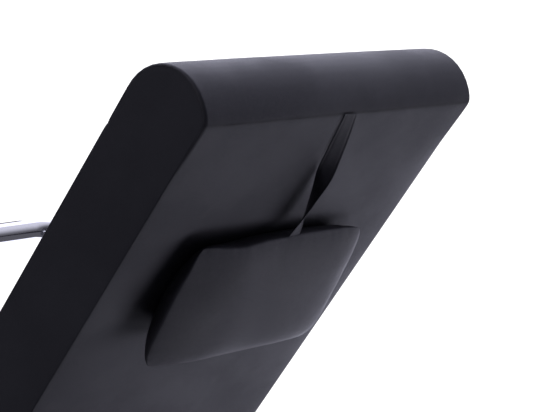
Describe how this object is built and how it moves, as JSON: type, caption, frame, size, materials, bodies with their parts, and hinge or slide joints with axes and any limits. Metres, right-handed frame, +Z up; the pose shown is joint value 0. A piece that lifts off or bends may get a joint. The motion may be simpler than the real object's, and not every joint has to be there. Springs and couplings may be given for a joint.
{
  "type": "massage couch",
  "caption": "Upholstered massage lounger, a thick padded slab bent into back, seat and leg rests on chromed tube legs, with a strapped neck pillow and vibration motors inside.",
  "frame": {"origin": "middle of the couch's footprint, on the floor under the pads", "axes": "+X across the couch, +Y along it towards the head, +Z up"},
  "size_m": [0.55, 1.5348, 0.7845],
  "materials": {
    "leatherette": "black faux leather with a fine soft grain and a satin sheen",
    "foam": "cut upholstery foam",
    "fibre_fill": "loose polyester fibre",
    "plywood": "raw birch plywood",
    "pine": "planed pine",
    "zinc_steel": "zinc plated",
    "chrome": "polished chrome",
    "black_plastic": "moulded, satin",
    "circuit_board": "lacquered board",
    "wire": "insulated wire"
  },
  "bodies": {
    "couch": {"back_deck": "plywood", "back_foam": "foam", "calf_motor": "zinc_steel", "calf_motor_housing": "black_plastic", "control_board": "circuit_board", "control_box": "black_plastic", "face_cover": "leatherette", "foot_end_roll": "foam", "foot_rail": "pine", "foot_wrap_cover": "leatherette", "front_left_pad": "black_plastic", "front_leg_frame": "chrome", "front_leg_rail": "pine", "front_right_pad": "black_plastic", "handset_socket": "black_plastic", "head_end_roll": "foam", "head_rail": "pine", "head_wrap_cover": "leatherette", "knee_rail": "pine", "left_rib": "plywood", "left_side_cover": "leatherette", "leg_bolt_1": "zinc_steel", "leg_bolt_2": "zinc_steel", "leg_bolt_3": "zinc_steel", "leg_bolt_4": "zinc_steel", "leg_bolt_5": "zinc_steel", "leg_bolt_6": "zinc_steel", "leg_bolt_7": "zinc_steel", "leg_bolt_8": "zinc_steel", "leg_deck": "plywood", "leg_foam": "foam", "lumbar_motor": "zinc_steel", "lumbar_motor_housing": "black_plastic", "lumbar_rail": "pine", "motor_wires": "wire", "power_inlet": "black_plastic", "rear_left_pad": "black_plastic", "rear_leg_frame": "chrome", "rear_leg_rail": "pine", "rear_right_pad": "black_plastic", "right_rib": "plywood", "right_side_cover": "leatherette", "seat_deck": "plywood", "seat_foam": "foam", "seat_rail": "pine", "shoulder_motor": "zinc_steel", "shoulder_motor_housing": "black_plastic", "shoulder_rail": "pine", "thigh_motor": "zinc_steel", "thigh_motor_housing": "black_plastic", "underside_cover": "leatherette", "underside_padding": "foam"},
    "strap": {"pillow_strap": "leatherette"},
    "pillow": {"pillow_front_panel": "leatherette", "pillow_back_panel": "leatherette", "pillow_filling": "fibre_fill"},
    "calf_rotor": {"calf_eccentric": "zinc_steel"},
    "thigh_rotor": {"thigh_eccentric": "zinc_steel"},
    "lumbar_rotor": {"lumbar_eccentric": "zinc_steel"},
    "shoulder_rotor": {"shoulder_eccentric": "zinc_steel"}
  },
  "joints": [
    {"name": "strap_swing", "type": "hinge", "parent": "couch", "child": "strap", "pos_m": [0, 0.68863, 0.78391], "axis": [-1, 0, 0], "range_deg": [0, 180]},
    {"name": "pillow_tilt", "type": "hinge", "parent": "strap", "child": "pillow", "pos_m": [0, 0.5298, 0.67037], "axis": [-1, 0, 0], "range_deg": [0, 60]},
    {"name": "calf_motor_spin", "type": "hinge", "parent": "couch", "child": "calf_rotor", "pos_m": [0, -0.55961, 0.1603], "axis": [0, -0.4695, 0.8829], "continuous": true},
    {"name": "thigh_motor_spin", "type": "hinge", "parent": "couch", "child": "thigh_rotor", "pos_m": [0, -0.117, 0.23951], "axis": [0, 0.2588, 0.9659], "continuous": true},
    {"name": "lumbar_motor_spin", "type": "hinge", "parent": "couch", "child": "lumbar_rotor", "pos_m": [0, 0.29503, 0.31648], "axis": [0, -0.6691, 0.7431], "continuous": true},
    {"name": "shoulder_motor_spin", "type": "hinge", "parent": "couch", "child": "shoulder_rotor", "pos_m": [0, 0.61596, 0.60545], "axis": [0, -0.6691, 0.7431], "continuous": true}
  ]
}
